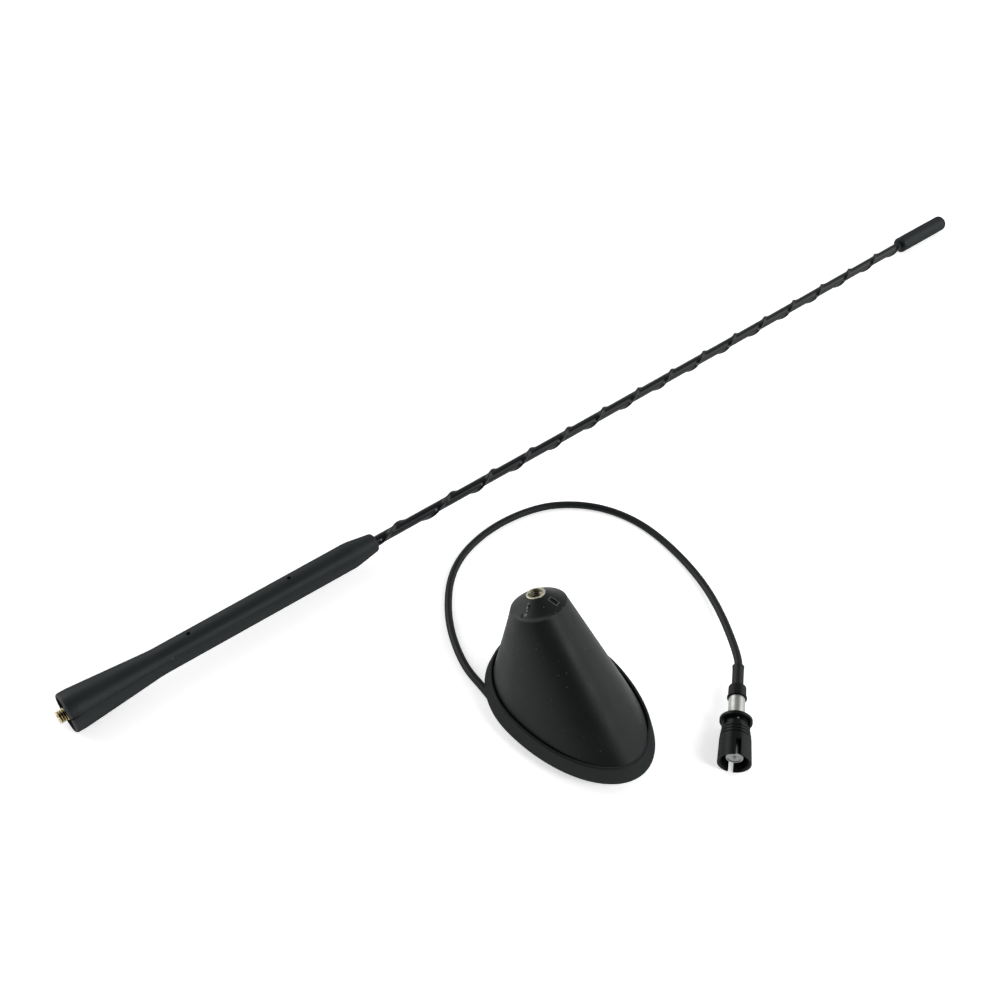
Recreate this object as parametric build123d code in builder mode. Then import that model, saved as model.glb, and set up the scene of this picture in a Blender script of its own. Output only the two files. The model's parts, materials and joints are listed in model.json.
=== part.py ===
from build123d import *
import math
import os

# Car roof aerial: a mast lies unscrewed beside its base, which has a short coaxial lead with a plug.
# The origin is the mouth of the roof screw hole, on the surface that everything lies on.
# +X points to the base's nose, +Y runs along the mast to its tip, +Z is up. Sizes are in millimetres.

# Mast: lengths run from the flare's rim to the tip
mast_x = -100.6
mast_y = -137.8
mast_length = 496.1
flare_dia = 15.5
flare_band = 3.0
flare_length = 34.0
flare_wall = 1.25
flare_round = 1.1
recess_depth = 4.5
recess_floor_dia = 10.4
grip_neck_dia = 10.5
grip_dia = 10.9
grip_length = 129.0
grip_end_dia = 7.5
grip_end_taper = 11.3
grip_end_round = 1.2
band_blend = 12.0
neck_blend = 60.0
taper_blend = 20.0
pin_mark_dia = 1.1
pin_mark_depth = 1.6
pin_mark_lengths = (48.1, 90.6)
pin_mark_angle = 97.0
core_dia = 3.0
sheath_wall = 0.31
sheath_hold = 12.0
ridge_height = 0.8
ridge_crest = 0.5
ridge_foot = 3.0
ridge_root = 0.6
ridge_pitch = 21.07
ridge_clear = 0.8
ridge_mark_length = 168.9
ridge_mark_angle = 141.0
tip_dia = 7.66
tip_length = 34.8
tip_foot_round = 0.9
tip_round = 1.4
tip_crown = 7.0

# Mast stud and the brass socket that takes it
thread_dia = 5.0
thread_minor_dia = 4.2
stud_reach = 3.8
stud_chamfer = 0.5
stud_collar_dia = 7.2
stud_collar = 1.5
stud_shank_dia = 6.2
stud_shank = 18.0
core_hold = 12.0
socket_dia = 6.7
socket_neck = 3.0
socket_body_dia = 8.6
socket_length = 13.0
socket_stand = 0.15
thread_depth = 11.0

# Base: an egg outline of two half-ellipses that meet at the roof screw
roof_gap = 5.0
nose_length = 41.8
tail_length = 28.7
base_width = 46.8
gasket_height = 6.0
gasket_floor = 2.0
gasket_foot = 0.6
gasket_draft = 1.3
gasket_round = 0.7
ledge = 2.8
seam = 0.5
housing_wall = 2.2
rim_back = 12.1
rim_height = 39.2
rim_dia = 19.7
rim_round = 0.6
mast_lean = 21.9
cap_height = 4.3
cap_wall = 2.4
cap_pocket_depth = 0.4
cap_pocket_turns = (19.5, 292.0, 119.0)
cap_pocket_rises = (0.5, 0.69, 0.24)
cap_pocket_lengths = (3.4, 1.0, 0.6)
cap_pocket_widths = (1.8, 0.5, 3.0)
socket_post_dia = 12.4

# Base plate, its screws and the way out for the lead
plate_gap = 0.2
plate_recess = 0.3
plate_thickness = 3.8
boss_dia = 18.0
roof_thread_minor_dia = 5.0
roof_thread_depth = 12.0
roof_column_dia = 9.0
roof_column_cover = 1.5
screw_dia = 2.8
screw_head_dia = 5.2
screw_head = 2.0
screw_length = 11.0
screw_post_dia = 6.4
screw_play = 0.15
screw_from_nose = 14.8
screw_from_tail = 18.7
screw_from_side = 10.4

# Feed from the lead to the mast socket
contact_thickness = 0.6
contact_width = 4.0
contact_drop = 9.0
wire_dia = 1.5
wire_play = 0.25
wire_bend = 1.6
wire_offset = 1.5

# Lead: the points of its route were chosen along the line that it takes on the surface
cable_dia = 2.9
outlet_x = 5.6
outlet_z = 2.6
outlet_dia = 4.0
cable_start = -2.1
grommet_back = 0.5
route_under_base = ((5.6, -9.4, 2.6), (1.6, -15.9, 2.5), (-4.6, -19.2, 2.4), (-18.8, -17.4, 2.1))
route_on_surface = (
    (-34.6, -16.4),
    (-55.6, -7.4),
    (-74.2, 9.5),
    (-81.0, 32.3),
    (-78.3, 56.0),
    (-68.9, 70.8),
    (-55.2, 80.4),
    (-37.7, 84.3),
    (-14.1, 82.2),
)
route_rise = (5.9, 75.6, 2.4)
route_last_corner = 8.3
corner_share = 0.45

# Plug: lengths run from the lead's end of the shrink sleeve to the mouth
plug_x = 32.15
plug_y = 58.0
plug_heading = -49.1
plug_roll = 6.0
shrink_dia = 3.85
shrink_length = 9.1
shrink_lap = 1.0
boot_dia = 6.2
boot_length = 5.2
boot_rim_dia = 6.9
boot_rim = 0.7
barrel_dia = 5.8
barrel_tail_dia = 4.8
barrel_bare = 8.5
barrel_bore_dia = 5.0
barrel_bore = 6.0
barrel_short = 2.0
stop_dia = 7.6
stop_width = 1.0
stop_clear = 0.3
slide_clear = 0.05
sleeve_length = 17.9
sleeve_guide = 7.5
flange_dia = 11.4
flange_width = 1.4
flange_bevel = 0.35
neck_dia = 8.2
neck_length = 3.0
ring_count = 3
ring_width = 0.85
ring_gap = 0.5
ring_first_dia = 9.8
ring_step = 0.4
ring_groove = 0.35
sleeve_body_dia = 10.9
mouth_dia = 11.6
mouth_wall = 1.0
mouth_lip = 0.5
slot_width = 1.8
slot_length = 6.6
bridge_width = 3.2
bridge_thickness = 0.9
insulator_set = 0.4
contact_dia = 1.2
contact_bore_dia = 0.6
contact_stand = 0.2


def turned(side, outline, mode=Mode.ADD):
    """Turn a closed outline of (radius, length) points about the side plane's own Y axis."""
    with BuildSketch(side) as section:
        with BuildLine():
            Polyline(*outline, close=True)
        make_face()
    revolve(section.sketch, axis=Axis(side.origin, side.y_dir), mode=mode)


def egg(plane, inset):
    """The base's outline, smaller by an inset on every side: two half-ellipses on one plane."""
    half = base_width / 2 - inset
    with BuildSketch(plane) as outline:
        with BuildLine():
            EllipticalCenterArc((0, 0), nose_length - inset, half, -90, arc_size=180)
            EllipticalCenterArc((0, 0), tail_length - inset, half, 90, arc_size=180)
        make_face()
    return outline.sketch


def ring_edge(plane, radius):
    """A circle in two halves, which lofts to the egg outline without twisting."""
    with BuildSketch(plane) as outline:
        with BuildLine():
            CenterArc((0, 0), radius, -90, 180)
            CenterArc((0, 0), radius, 90, 180)
        make_face()
    return outline.sketch


def finish(builder, name):
    """Label a finished piece and write it."""
    builder.part.label = name
    export_step(builder.part, f"parts/{name}.step")


os.makedirs("parts", exist_ok=True)

# Mast axis: the flare's band and the tip both rest on the surface, so the mast lies a little nose-down
flare_r = flare_dia / 2
tip_r = tip_dia / 2
grip_r = grip_dia / 2
core_r = core_dia / 2
rod_r = core_r + sheath_wall
thread_r = thread_dia / 2
collar_r = stud_collar_dia / 2
shank_r = stud_shank_dia / 2
mast_tilt = math.atan2(flare_r - tip_r, mast_length - tip_round - flare_band)
mast_dir = Vector(0, math.cos(mast_tilt), -math.sin(mast_tilt))
mast_z = flare_band * math.sin(mast_tilt) + flare_r * math.cos(mast_tilt)
mast_foot = Vector(mast_x, mast_y, mast_z)
mast_up = Vector(0, math.sin(mast_tilt), math.cos(mast_tilt))
mast_side = Plane(origin=mast_foot, x_dir=(1, 0, 0), z_dir=mast_up)
mast_end = Plane(origin=mast_foot, x_dir=(1, 0, 0), z_dir=mast_dir)
tip_start = mast_length - tip_length
tip_floor = mast_length - tip_crown
sheath_start = grip_length - sheath_hold
sheath_end = tip_start + sheath_hold
collar_end = recess_depth + stud_collar
stud_end = collar_end + stud_shank
core_start = stud_end - core_hold

# Brass stud with a threaded end, a collar and a socket for the rod
with BuildPart() as mast_stud:
    turned(
        mast_side,
        (
            (0, -stud_reach),
            (thread_r - stud_chamfer, -stud_reach),
            (thread_r, stud_chamfer - stud_reach),
            (thread_r, recess_depth),
            (collar_r, recess_depth),
            (collar_r, collar_end),
            (shank_r, collar_end),
            (shank_r, stud_end),
            (core_r, stud_end),
            (core_r, core_start),
            (0, core_start),
        ),
    )
finish(mast_stud, "mast_stud")

# Glass-fibre rod from the stud's socket to the floor of the tip
with BuildPart() as mast_core:
    with BuildSketch(mast_end.offset(core_start)):
        Circle(core_r)
    extrude(amount=tip_floor - core_start)
finish(mast_core, "mast_core")

# Grip with a straight band and taper at the flare, hollow at its foot and moulded round the stud
with BuildPart() as mast_grip:
    with BuildSketch(mast_side):
        with BuildLine():
            FilletPolyline(
                (flare_r - flare_wall, 0),
                (flare_r, 0),
                (flare_r, flare_band),
                (grip_neck_dia / 2, flare_length),
                (grip_r, grip_length - grip_end_taper),
                (grip_end_dia / 2, grip_length),
                (rod_r, grip_length),
                radius=(flare_round, band_blend, neck_blend, taper_blend, grip_end_round),
            )
            Polyline(
                (rod_r, grip_length),
                (rod_r, sheath_start),
                (core_r, sheath_start),
                (core_r, stud_end),
                (shank_r, stud_end),
                (shank_r, collar_end),
                (collar_r, collar_end),
                (collar_r, recess_depth),
                (recess_floor_dia / 2, recess_depth),
                (flare_r - flare_wall, 0),
            )
        make_face()
    revolve(axis=Axis(mast_foot, mast_dir))
    mark_turn = math.radians(pin_mark_angle)
    mark_out = mast_side.x_dir * math.cos(mark_turn) + mast_up * math.sin(mark_turn)
    for mark_length in pin_mark_lengths:
        mark_place = mast_foot + mast_dir * mark_length + mark_out * (grip_r - pin_mark_depth)
        with BuildSketch(Plane(origin=mark_place, x_dir=mast_dir, z_dir=mark_out)):
            Circle(pin_mark_dia / 2)
        extrude(amount=2 * pin_mark_depth, mode=Mode.SUBTRACT)
finish(mast_grip, "mast_grip")

# Sheath with a left-handed spiral ridge between the grip and the tip
ridge_start = grip_length + ridge_clear
ridge_run = tip_start - ridge_clear - ridge_start
ridge_turn = math.radians(ridge_mark_angle) + math.tau * (ridge_start - ridge_mark_length) / ridge_pitch
ridge_out = mast_side.x_dir * math.cos(ridge_turn) + mast_up * math.sin(ridge_turn)
ridge_plane = Plane(origin=mast_foot + mast_dir * ridge_start, x_dir=ridge_out, z_dir=mast_dir)
with BuildLine() as spiral:
    Helix(pitch=ridge_pitch, height=ridge_run, radius=rod_r, lefthand=True)
spiral_path = spiral.line.moved(ridge_plane.location)
with BuildPart() as mast_sheath:
    with BuildSketch(mast_end.offset(sheath_start)):
        Circle(rod_r)
    extrude(amount=sheath_end - sheath_start)
    with BuildSketch(Plane(origin=spiral_path @ 0, x_dir=ridge_out, z_dir=spiral_path % 0)):
        Polygon(
            (ridge_height, ridge_crest / 2),
            (ridge_height, -ridge_crest / 2),
            (-ridge_root, -ridge_foot / 2),
            (-ridge_root, ridge_foot / 2),
            align=None,
        )
    sweep(path=spiral_path, is_frenet=True)
    with BuildSketch(mast_end.offset(sheath_start)):
        Circle(core_r)
    extrude(amount=sheath_end - sheath_start, mode=Mode.SUBTRACT)
finish(mast_sheath, "mast_sheath")

# End cap, stepped inside for the sheath and the rod
with BuildPart() as mast_tip:
    with BuildSketch(mast_side):
        with BuildLine():
            FilletPolyline(
                (rod_r, tip_start),
                (tip_r, tip_start),
                (tip_r, mast_length),
                (0, mast_length),
                radius=(tip_foot_round, tip_round),
            )
            Polyline(
                (0, mast_length),
                (0, tip_floor),
                (core_r, tip_floor),
                (core_r, sheath_end),
                (rod_r, sheath_end),
                (rod_r, tip_start),
            )
        make_face()
    revolve(axis=Axis(mast_foot, mast_dir))
finish(mast_tip, "mast_tip")

# Base levels, screw places and the leaning plane of the mast seat
gasket_top = roof_gap + gasket_height
housing_bottom = roof_gap + gasket_floor
plate_bottom = roof_gap + plate_recess
plate_top = plate_bottom + plate_thickness
housing_inset = ledge
cavity_inset = ledge + housing_wall
plate_inset = cavity_inset + plate_gap
screw_nose_x = nose_length - screw_from_nose
screw_tail_x = screw_from_tail - tail_length
screw_side_y = base_width / 2 - screw_from_side
screw_places = ((screw_nose_x, 0), (screw_tail_x, screw_side_y), (screw_tail_x, -screw_side_y))
lean = math.radians(mast_lean)
seat_dir = Vector(-math.sin(lean), 0, math.cos(lean))
seat_x = Vector(math.cos(lean), 0, math.sin(lean))
seat = Plane(origin=(-rim_back, 0, roof_gap + rim_height), x_dir=seat_x, z_dir=seat_dir)
seat_side = Plane(origin=seat.origin, x_dir=seat_x, z_dir=seat_x.cross(seat_dir))
rim_r = rim_dia / 2
socket_r = socket_dia / 2
socket_body_r = socket_body_dia / 2
socket_top = cap_height + socket_stand
socket_bottom = socket_top - socket_length
socket_step = socket_top - socket_neck


def cap_place(turn_degrees, rise):
    """A plane on the cap's cone: at a turn from the nose, and a share of the way from rim to socket."""
    turn = math.radians(turn_degrees)
    out = seat_x * math.cos(turn) + Vector(0, 1, 0) * math.sin(turn)
    place = seat.origin + seat_dir * (cap_height * rise) + out * (rim_r + (socket_r - rim_r) * rise)
    slope = out * (rim_r - socket_r) - seat_dir * cap_height
    normal = out * cap_height + seat_dir * (rim_r - socket_r)
    return Plane(origin=place, x_dir=slope, z_dir=normal)


# Housing: a skirt inside the gasket, then straight-sided walls that run from the egg to the leaning rim
with BuildPart() as housing_form:
    extrude(egg(Plane.XY.offset(housing_bottom), housing_inset), amount=gasket_top - housing_bottom)
    loft((egg(Plane.XY.offset(gasket_top), housing_inset), ring_edge(seat, rim_r)), ruled=True)
    turned(seat_side, ((0, 0), (rim_r, 0), (socket_r, cap_height), (0, cap_height)))
    rim_edges = housing_form.edges().filter_by_position(Axis(seat.origin, seat_dir), -seam, seam)
    fillet(rim_edges, radius=rim_round)

with BuildPart() as housing_cavity:
    extrude(egg(Plane.XY.offset(housing_bottom), cavity_inset), amount=gasket_top - housing_bottom)
    cavity_foot = egg(Plane.XY.offset(gasket_top), cavity_inset)
    cavity_top = ring_edge(seat.offset(-cap_wall), rim_r - housing_wall)
    loft((cavity_foot, cavity_top), ruled=True)

with BuildPart() as housing_posts:
    with BuildSketch(Plane.XY.offset(plate_top)):
        with Locations(*screw_places):
            Circle(screw_post_dia / 2)
    extrude(amount=rim_height)
    with BuildSketch(seat.offset(socket_bottom)):
        Circle(socket_post_dia / 2)
    extrude(amount=-socket_bottom)
    add(housing_form.part, mode=Mode.INTERSECT)

with BuildPart() as base_housing:
    add(housing_form.part)
    add(housing_cavity.part, mode=Mode.SUBTRACT)
    add(housing_posts.part)
    turned(
        seat_side,
        (
            (0, socket_bottom),
            (socket_body_r, socket_bottom),
            (socket_body_r, socket_step),
            (socket_r, socket_step),
            (socket_r, socket_top),
            (0, socket_top),
        ),
        mode=Mode.SUBTRACT,
    )
    with BuildSketch(Plane.XY.offset(plate_top)):
        with Locations(*screw_places):
            Circle(screw_dia / 2)
    extrude(amount=screw_length - (plate_thickness - screw_head), mode=Mode.SUBTRACT)
    cap_pockets = zip(cap_pocket_turns, cap_pocket_rises, cap_pocket_lengths, cap_pocket_widths)
    for pocket_turn, pocket_rise, pocket_length, pocket_width in cap_pockets:
        with BuildSketch(cap_place(pocket_turn, pocket_rise)):
            Rectangle(pocket_length, pocket_width)
        extrude(amount=cap_pocket_depth, both=True, mode=Mode.SUBTRACT)
finish(base_housing, "base_housing")

# Brass insert, wider inside the housing so that the mast can't pull it out
with BuildPart() as mast_socket:
    turned(
        seat_side,
        (
            (0, socket_bottom),
            (socket_body_r, socket_bottom),
            (socket_body_r, socket_step),
            (socket_r, socket_step),
            (socket_r, socket_top),
            (thread_minor_dia / 2, socket_top),
            (thread_minor_dia / 2, socket_top - thread_depth),
            (0, socket_top - thread_depth),
        ),
    )
finish(mast_socket, "mast_socket")

# Gasket: a leaning wall that wraps the housing's foot, and a floor that the housing stands on
with BuildPart() as base_gasket:
    gasket_bottom_outline = egg(Plane.XY.offset(roof_gap), -gasket_foot)
    gasket_top_outline = egg(Plane.XY.offset(gasket_top), gasket_draft)
    loft((gasket_bottom_outline, gasket_top_outline), ruled=True)
    fillet(base_gasket.faces().sort_by(Axis.Z)[-1].edges(), radius=gasket_round)
    extrude(
        egg(Plane.XY.offset(housing_bottom), housing_inset - seam),
        amount=gasket_height,
        mode=Mode.SUBTRACT,
    )
    extrude(egg(Plane.XY.offset(roof_gap), cavity_inset), amount=gasket_floor, mode=Mode.SUBTRACT)
finish(base_gasket, "base_gasket")

# Plate: closes the housing, takes the roof screw and lets the lead out through its boss
column_top = roof_thread_depth + roof_column_cover
wire_x = outlet_x
wire_y = wire_offset
with BuildPart() as base_plate:
    extrude(egg(Plane.XY.offset(plate_bottom), plate_inset), amount=plate_thickness)
    with BuildSketch(Plane.XY):
        Circle(boss_dia / 2)
    extrude(amount=plate_bottom)
    with BuildSketch(Plane.XY.offset(plate_top)):
        Circle(roof_column_dia / 2)
    extrude(amount=column_top - plate_top)
    with BuildSketch(Plane.XY):
        Circle(roof_thread_minor_dia / 2)
    extrude(amount=roof_thread_depth, mode=Mode.SUBTRACT)
    with BuildSketch(Plane(origin=(outlet_x, cable_start, outlet_z), x_dir=(1, 0, 0), z_dir=(0, -1, 0))):
        Circle(outlet_dia / 2)
    extrude(amount=boss_dia / 2, mode=Mode.SUBTRACT)
    with BuildSketch(Plane(origin=(outlet_x, cable_start, outlet_z), x_dir=(1, 0, 0), z_dir=(0, 1, 0))):
        Circle(wire_dia / 2 + wire_play)
    extrude(amount=wire_y + wire_dia - cable_start, mode=Mode.SUBTRACT)
    with BuildSketch(Plane(origin=(wire_x, wire_y, outlet_z))):
        Circle(wire_dia / 2 + wire_play)
    extrude(amount=plate_top, mode=Mode.SUBTRACT)
    with BuildSketch(Plane.XY.offset(plate_bottom)):
        with Locations(*screw_places):
            Circle(screw_dia / 2 + screw_play)
    extrude(amount=plate_thickness, mode=Mode.SUBTRACT)
    with BuildSketch(Plane.XY.offset(plate_bottom)):
        with Locations(*screw_places):
            Circle(screw_head_dia / 2 + screw_play)
    extrude(amount=screw_head, mode=Mode.SUBTRACT)
finish(base_plate, "base_plate")

# Three pan-head screws, sunk in the plate and driven into the housing's posts
with BuildPart() as plate_screws:
    with BuildSketch(Plane.XY.offset(plate_bottom)):
        with Locations(*screw_places):
            Circle(screw_head_dia / 2)
    extrude(amount=screw_head)
    with BuildSketch(Plane.XY.offset(plate_bottom + screw_head)):
        with Locations(*screw_places):
            Circle(screw_dia / 2)
    extrude(amount=screw_length)
finish(plate_screws, "plate_screws")

# Contact: a washer under the socket with a strip bent down for the wire
contact_top = seat.offset(socket_bottom)
strip_place = contact_top.origin + seat_x * (socket_body_r - contact_thickness)
strip_bottom = strip_place.Z - contact_drop
with BuildPart() as feed_contact:
    with BuildSketch(contact_top):
        Circle(socket_body_r)
    extrude(amount=-contact_thickness)
    with BuildSketch(Plane.XY.offset(strip_bottom)):
        with Locations((strip_place.X, 0)):
            Rectangle(contact_thickness, contact_width)
    extrude(amount=contact_drop - contact_thickness)
finish(feed_contact, "feed_contact")

# Inner conductor, from the lead's end up through the plate to the strip
strip_face = strip_place.X + contact_thickness / 2
wire_top = strip_bottom + wire_dia
with BuildPart() as feed_wire:
    with BuildLine() as wire_line:
        FilletPolyline(
            (outlet_x, cable_start, outlet_z),
            (wire_x, wire_y, outlet_z),
            (wire_x, wire_y, wire_top),
            (strip_face, wire_y, wire_top),
            radius=wire_bend,
        )
    wire_path = wire_line.wire()
    with BuildSketch(Plane(origin=wire_path @ 0, z_dir=wire_path % 0)):
        Circle(wire_dia / 2)
    sweep(path=wire_path)
finish(feed_wire, "feed_wire")

# Rubber bush in the boss
boss_edge = math.sqrt((boss_dia / 2) ** 2 - outlet_x**2)
grommet_start = cable_start - grommet_back
with BuildPart() as cable_grommet:
    with BuildSketch(Plane(origin=(outlet_x, grommet_start, outlet_z), x_dir=(1, 0, 0), z_dir=(0, -1, 0))):
        Circle(outlet_dia / 2)
        Circle(cable_dia / 2, mode=Mode.SUBTRACT)
    extrude(amount=boss_edge + grommet_start)
finish(cable_grommet, "cable_grommet")

# Plug frame: the axis lies level, as high as the mouth's radius
heading = math.radians(plug_heading)
plug_dir = Vector(math.cos(heading), math.sin(heading), 0)
plug_start = Vector(plug_x, plug_y, mouth_dia / 2)
plug_side = Plane(origin=plug_start, x_dir=(0, 0, 1), z_dir=Vector(0, 0, 1).cross(plug_dir))
boot_end = shrink_length + boot_length
tail_start = shrink_length + shrink_lap
sleeve_start = boot_end + barrel_bare
mouth_end = sleeve_start + sleeve_length
cavity_start = sleeve_start + sleeve_guide
barrel_end = mouth_end - barrel_short
barrel_r = barrel_dia / 2
tail_r = barrel_tail_dia / 2
cable_r = cable_dia / 2
shrink_r = shrink_dia / 2

# Lead: straight runs joined by arcs that are as large as the runs allow
route = [Vector(outlet_x, cable_start, outlet_z)]
route += [Vector(*point) for point in route_under_base]
route += [Vector(x, y, cable_r) for x, y in route_on_surface]
route += [Vector(*route_rise), plug_start - plug_dir * route_last_corner]
route += [plug_start + plug_dir * tail_start]
runs = [after - before for before, after in zip(route, route[1:])]
bends = []
for run_in, run_out in zip(runs, runs[1:]):
    half_turn = math.radians(run_in.get_angle(run_out)) / 2
    bends.append(corner_share * min(run_in.length, run_out.length) / math.tan(half_turn))
with BuildPart() as cable:
    with BuildLine() as cable_line:
        FilletPolyline(*route, radius=bends)
    cable_path = cable_line.wire()
    with BuildSketch(Plane(origin=cable_path @ 0, z_dir=cable_path % 0)):
        Circle(cable_r)
    sweep(path=cable_path)
finish(cable, "cable")
cable_length = cable_path.length
print("cable length", round(cable_length, 1), "bend radii", [round(bend, 1) for bend in bends])
print("cable volume over section times length", cable.part.volume / (math.pi * cable_r**2 * cable_length))

# Shrink sleeve on the lead
with BuildPart() as cable_sleeve:
    turned(plug_side, ((cable_r, 0), (shrink_r, 0), (shrink_r, tail_start), (cable_r, tail_start)))
finish(cable_sleeve, "cable_sleeve")

# Boot over the barrel's tail, with a raised rim
boot_rim_start = boot_end - boot_rim
with BuildPart() as plug_boot:
    turned(
        plug_side,
        (
            (shrink_r, shrink_length),
            (boot_dia / 2, shrink_length),
            (boot_dia / 2, boot_rim_start),
            (boot_rim_dia / 2, boot_rim_start),
            (boot_rim_dia / 2, boot_end),
            (tail_r, boot_end),
            (tail_r, tail_start),
            (shrink_r, tail_start),
        ),
    )
finish(plug_boot, "plug_boot")

# Barrel with a ring that stops the sleeve, and a bore in its mouth
stop_start = cavity_start + stop_clear
bore_floor = barrel_end - barrel_bore
with BuildPart() as plug_barrel:
    turned(
        plug_side,
        (
            (0, tail_start),
            (tail_r, tail_start),
            (tail_r, boot_end),
            (barrel_r, boot_end),
            (barrel_r, stop_start),
            (stop_dia / 2, stop_start),
            (stop_dia / 2, stop_start + stop_width),
            (barrel_r, stop_start + stop_width),
            (barrel_r, barrel_end),
            (barrel_bore_dia / 2, barrel_end),
            (barrel_bore_dia / 2, bore_floor),
            (0, bore_floor),
        ),
    )
finish(plug_barrel, "plug_barrel")

# Insulator and centre contact in the barrel's mouth
insulator_end = barrel_end - insulator_set
contact_end = barrel_end + contact_stand
with BuildPart() as plug_insulator:
    turned(
        plug_side,
        (
            (contact_dia / 2, bore_floor),
            (barrel_bore_dia / 2, bore_floor),
            (barrel_bore_dia / 2, insulator_end),
            (contact_dia / 2, insulator_end),
        ),
    )
finish(plug_insulator, "plug_insulator")

with BuildPart() as plug_contact:
    turned(
        plug_side,
        (
            (0, bore_floor),
            (contact_dia / 2, bore_floor),
            (contact_dia / 2, contact_end),
            (contact_bore_dia / 2, contact_end),
            (contact_bore_dia / 2, insulator_end),
            (0, insulator_end),
        ),
    )
finish(plug_contact, "plug_contact")

# Locking sleeve: flange, neck, rings and a slotted mouth, with a bridge over the neck on each side
flange_end = sleeve_start + flange_width
rings_start = flange_end + neck_length
sleeve_outline = [
    (barrel_r + slide_clear, sleeve_start),
    (flange_dia / 2 - flange_bevel, sleeve_start),
    (flange_dia / 2, sleeve_start + flange_bevel),
    (flange_dia / 2, flange_end),
    (neck_dia / 2, flange_end),
    (neck_dia / 2, rings_start),
]
for ring in range(ring_count):
    ring_r = (ring_first_dia + ring * ring_step) / 2
    ring_start = rings_start + ring * (ring_width + ring_gap)
    sleeve_outline += [
        (ring_r, ring_start),
        (ring_r, ring_start + ring_width),
        (ring_r - ring_groove, ring_start + ring_width),
        (ring_r - ring_groove, ring_start + ring_width + ring_gap),
    ]
body_start = rings_start + ring_count * (ring_width + ring_gap)
sleeve_outline += [
    (sleeve_body_dia / 2, body_start),
    (mouth_dia / 2, mouth_end),
    (mouth_dia / 2 - mouth_lip, mouth_end),
    (mouth_dia / 2 - mouth_wall, mouth_end - mouth_lip),
    (sleeve_body_dia / 2 - mouth_wall, cavity_start),
    (barrel_r + slide_clear, cavity_start),
]
roll = math.radians(plug_roll)
slot_up = Vector(0, 0, 1) * math.cos(roll) + plug_side.z_dir * math.sin(roll)
bridge_out = slot_up.cross(plug_dir)
with BuildPart() as plug_sleeve:
    turned(plug_side, sleeve_outline)
    with BuildSketch(Plane(origin=plug_start + plug_dir * mouth_end, x_dir=slot_up, z_dir=-plug_dir)):
        Rectangle(2 * mouth_dia, slot_width)
    extrude(amount=slot_length, mode=Mode.SUBTRACT)
    with BuildSketch(Plane(origin=plug_start + plug_dir * flange_end, x_dir=bridge_out, z_dir=plug_dir)):
        Circle(ring_first_dia / 2)
        Circle(ring_first_dia / 2 - bridge_thickness, mode=Mode.SUBTRACT)
        Rectangle(2 * ring_first_dia, bridge_width, mode=Mode.INTERSECT)
    extrude(amount=neck_length + ring_width)
finish(plug_sleeve, "plug_sleeve")
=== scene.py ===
import json
import math

import bmesh
import bpy
import numpy as np
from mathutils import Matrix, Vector


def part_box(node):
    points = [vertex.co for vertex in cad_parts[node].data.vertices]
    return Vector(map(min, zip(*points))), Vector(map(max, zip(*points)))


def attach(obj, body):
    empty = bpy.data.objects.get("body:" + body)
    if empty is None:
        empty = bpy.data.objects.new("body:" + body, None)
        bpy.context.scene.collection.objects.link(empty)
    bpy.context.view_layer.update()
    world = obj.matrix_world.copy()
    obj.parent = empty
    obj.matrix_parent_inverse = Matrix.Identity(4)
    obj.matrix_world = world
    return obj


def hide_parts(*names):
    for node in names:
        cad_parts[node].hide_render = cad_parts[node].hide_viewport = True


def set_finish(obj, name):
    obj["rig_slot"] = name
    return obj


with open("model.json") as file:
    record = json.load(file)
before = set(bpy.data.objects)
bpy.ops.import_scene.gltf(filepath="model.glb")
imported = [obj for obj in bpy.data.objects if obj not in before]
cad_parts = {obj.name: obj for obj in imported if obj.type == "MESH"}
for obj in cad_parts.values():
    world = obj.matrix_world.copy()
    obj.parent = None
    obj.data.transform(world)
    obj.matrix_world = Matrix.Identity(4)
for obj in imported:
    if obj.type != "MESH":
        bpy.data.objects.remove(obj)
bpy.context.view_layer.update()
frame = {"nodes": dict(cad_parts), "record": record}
nodes = frame["nodes"]
scene = bpy.context.scene
scene.view_settings.view_transform = "Standard"
MM = 0.001
TURN = 2 * math.pi
ALONG_X = np.array([1.0, 0, 0])
ALONG_Y = np.array([0, 1.0, 0])
ALONG_Z = np.array([0, 0, 1.0])

# Camera: level, without shift, at the photograph's place
CAMERA_PLACE = Vector((179.00, -172.95, 356.30)) * MM
CAMERA_HEADING = Vector((-0.7742, 0.6330, 0))
CAMERA_PITCH = math.radians(45.543)
camera_data = bpy.data.cameras.new("camera")
camera_data.lens = 43.2
camera_data.sensor_width = 36.0
camera_data.clip_start = 0.01
camera_data.clip_end = 50.0
camera = bpy.data.objects.new("camera", camera_data)
scene.collection.objects.link(camera)
look = CAMERA_HEADING * math.cos(CAMERA_PITCH) - Vector((0, 0, 1)) * math.sin(CAMERA_PITCH)
camera.location = CAMERA_PLACE
camera.rotation_euler = look.to_track_quat("-Z", "Y").to_euler()
scene.camera = camera

# Places and axes, in millimetres, from the mounts of the CAD model
MOUNTS = {row["name"]: row for row in frame["record"]["mounts"]}


def mount_place(name):
    """A mount's place in millimetres, and its axis."""
    return np.array(MOUNTS[name]["pos_m"]) / MM, np.array(MOUNTS[name]["axis"], float)


MAST_FOOT, STUD_DIR = mount_place("mast_stud_thread")
MAST_DIR = -STUD_DIR
SOCKET_MOUTH, SEAT_DIR = mount_place("mast_socket_thread")
PLUG_LENGTH = 40.7
PLUG_MOUTH, PLUG_DIR = mount_place("plug_mouth")
PLUG_START = PLUG_MOUTH - PLUG_DIR * PLUG_LENGTH

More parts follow.
